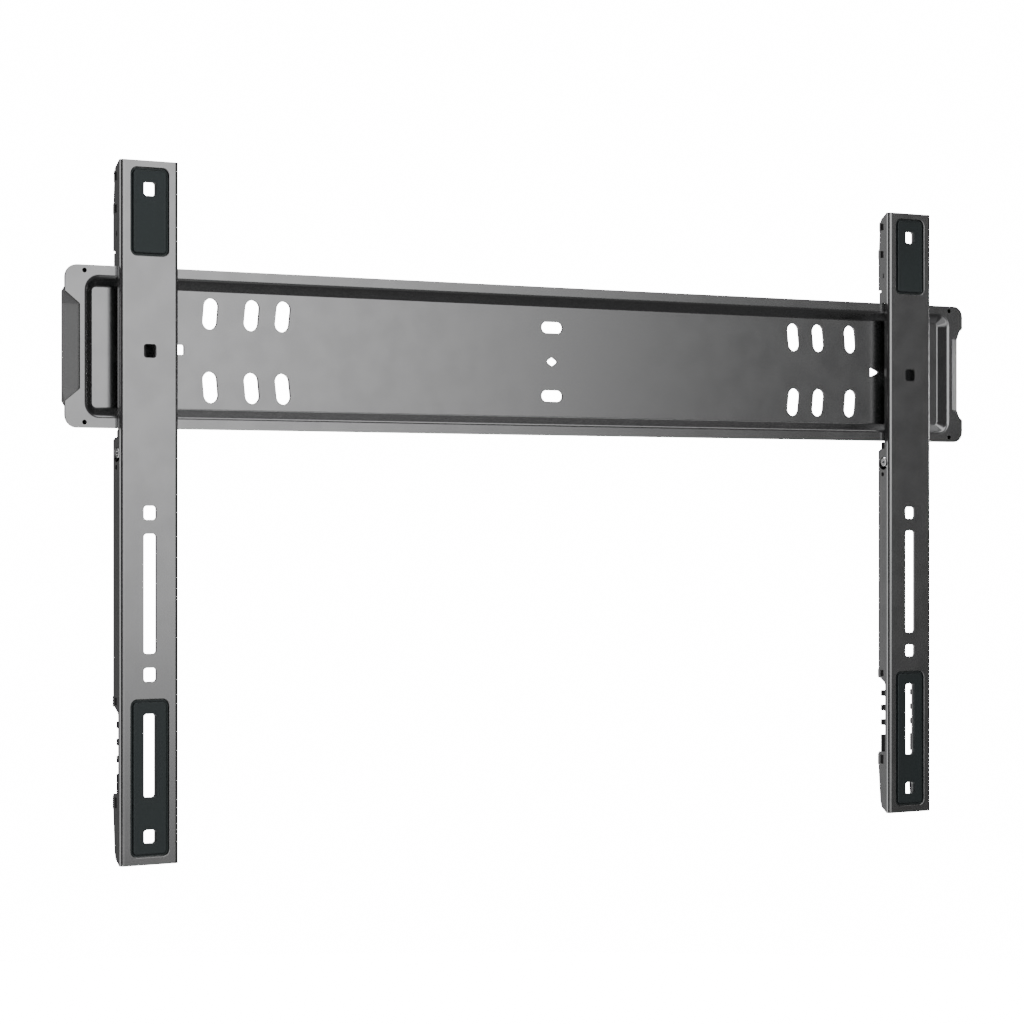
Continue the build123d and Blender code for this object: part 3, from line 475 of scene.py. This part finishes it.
def tube(name, points, radius):
    """A round tube along a path, with flat ends, whose rings don't twist."""
    mesh = bmesh.new()
    rings = []
    tangent = (points[1] - points[0]).normalized()
    side = tangent.orthogonal().normalized()
    last = len(points) - 1
    for index, point in enumerate(points):
        ahead = points[min(index + 1, last)] - points[max(index - 1, 0)]
        turned = ahead.normalized()
        side = (tangent.rotation_difference(turned) @ side).normalized()
        side = (side - turned * side.dot(turned)).normalized()
        tangent = turned
        up = turned.cross(side)
        ring = []
        for step in range(TUBE_SIDES):
            angle = 2 * math.pi * step / TUBE_SIDES
            outward = side * math.cos(angle) + up * math.sin(angle)
            ring.append(mesh.verts.new(point + outward * radius))
        rings.append(ring)
    for ring, following in zip(rings, rings[1:]):
        for step in range(TUBE_SIDES):
            ahead = (step + 1) % TUBE_SIDES
            mesh.faces.new((ring[step], ring[ahead], following[ahead], following[step]))
    mesh.faces.new(tuple(reversed(rings[0])))
    mesh.faces.new(tuple(rings[-1]))
    bmesh.ops.recalc_face_normals(mesh, faces=mesh.faces)
    data = bpy.data.meshes.new(name)
    mesh.to_mesh(data)
    mesh.free()
    for face in data.polygons:
        face.use_smooth = len(face.vertices) == QUAD_CORNERS
    piece = bpy.data.objects.new(name, data)
    bpy.context.scene.collection.objects.link(piece)
    return piece


def make_springs():
    """Wound springs in place of the plain ones."""
    for side in SIDES:
        points = [strip_point(side, *point) for point in spring_path()]
        spring = tube(f"torsion_spring_{side}", points, SPRING_WIRE_D / 2 * MM)
        spring.data.materials.append(SLOTS["bright_steel"])
        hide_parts(f"latch_spring_{side}")
        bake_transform(spring)


# Studio


def band(nodes, angle, edges):
    """1 between the two inner edges of four, in degrees, and 0 beyond the outer ones."""
    low_out, low_in, high_in, high_out = (math.radians(edge) for edge in edges)
    grows = nodes.smooth(angle, low_out, low_in)
    fades = nodes.smooth(angle, high_out, high_in)
    return nodes.multiply(grows, fades)


def panel(nodes, azimuth, rise, strength, across, upwards):
    """A soft light panel in the sky, from its edges in azimuth and in height."""
    glow = nodes.multiply(band(nodes, azimuth, across), band(nodes, rise, upwards))
    return nodes.multiply(glow, strength)


def make_world():
    """A white room for the eye, and soft panels for light and reflections."""
    world = bpy.data.worlds.new("studio")
    bpy.context.scene.world = world
    world.use_nodes = True
    nodes = Nodes(world.node_tree)
    direction = nodes.add("ShaderNodeTexCoord").outputs["Generated"]
    east, inward, up = nodes.split(direction)
    azimuth = nodes.math("ARCTAN2", east, nodes.multiply(inward, -1.0))
    rise = nodes.math("ARCSINE", up)
    low_rise = math.radians(OVERHEAD_START)
    high_rise = math.radians(OVERHEAD_END)
    light = nodes.smooth(rise, low_rise, high_rise, AMBIENT, OVERHEAD)
    for strength, across, upwards in PANELS:
        glow = panel(nodes, azimuth, rise, strength, across, upwards)
        light = nodes.math("ADD", light, glow)
    studio = nodes.add("ShaderNodeBackground")
    nodes.link(light, studio.inputs["Strength"])
    backdrop = nodes.add("ShaderNodeBackground")
    backdrop.inputs["Strength"].default_value = BACKDROP
    seen = nodes.add("ShaderNodeLightPath").outputs["Is Camera Ray"]
    choose = nodes.add("ShaderNodeMixShader")
    nodes.link(seen, choose.inputs["Fac"])
    nodes.link(studio.outputs["Background"], choose.inputs[1])
    nodes.link(backdrop.outputs["Background"], choose.inputs[2])
    output = nodes.add("ShaderNodeOutputWorld")
    nodes.link(choose.outputs["Shader"], output.inputs["Surface"])


def make_floor():
    """A pale round floor that fades into the white backdrop and doesn't light the bracket."""
    bpy.ops.mesh.primitive_circle_add(
        vertices=FLOOR_SIDES, radius=FLOOR_RADIUS, fill_type="NGON"
    )
    floor = bpy.context.object
    floor.name = "floor"
    floor.location = (0, 0, -FLOOR_DROP)
    floor.visible_diffuse = False
    floor.visible_glossy = False
    material, nodes, shader = new_material("floor_white")
    shader.inputs["Base Color"].default_value = opaque(FLOOR_WHITE)
    shader.inputs["Roughness"].default_value = FLOOR_ROUGHNESS
    length = nodes.add("ShaderNodeVectorMath", operation="LENGTH")
    nodes.link(object_place(nodes), length.inputs[0])
    fade_start = FLOOR_FADE_START * FLOOR_RADIUS
    fade_end = FLOOR_FADE_END * FLOOR_RADIUS
    glow = nodes.smooth(length.outputs["Value"], fade_start, fade_end, FLOOR_GLOW, BACKDROP)
    shader.inputs["Emission Color"].default_value = (1.0, 1.0, 1.0, 1.0)
    nodes.link(glow, shader.inputs["Emission Strength"])
    floor.data.materials.append(material)


def place_and_aim(thing, place, aim):
    """Links a camera or a lamp into the scene at a place, looking along aim."""
    thing.location = place
    thing.rotation_mode = "QUATERNION"
    thing.rotation_quaternion = aim.to_track_quat("-Z", "Y")
    bpy.context.scene.collection.objects.link(thing)


def make_kicker():
    """A small soft lamp that only the right end of the plate catches."""
    data = bpy.data.lights.new("kicker", "AREA")
    data.shape = "DISK"
    data.size = KICKER_SIZE
    data.energy = KICKER_POWER
    data.spread = math.radians(KICKER_SPREAD)
    lamp = bpy.data.objects.new("kicker", data)
    lamp.visible_camera = False
    place_and_aim(lamp, KICKER_PLACE, Vector(KICKER_TARGET) - Vector(KICKER_PLACE))


def make_camera():
    data = bpy.data.cameras.new("camera")
    data.lens = LENS
    data.sensor_width = SENSOR
    data.shift_y = SHIFT_Y
    data.clip_start = CLIP_START
    data.clip_end = CLIP_END
    camera = bpy.data.objects.new("camera", data)
    place_and_aim(camera, CAMERA_PLACE, Vector(CAMERA_AIM))
    bpy.context.scene.camera = camera


make_camera()
make_world()
make_floor()
make_kicker()
dress_nodes()
make_springs()
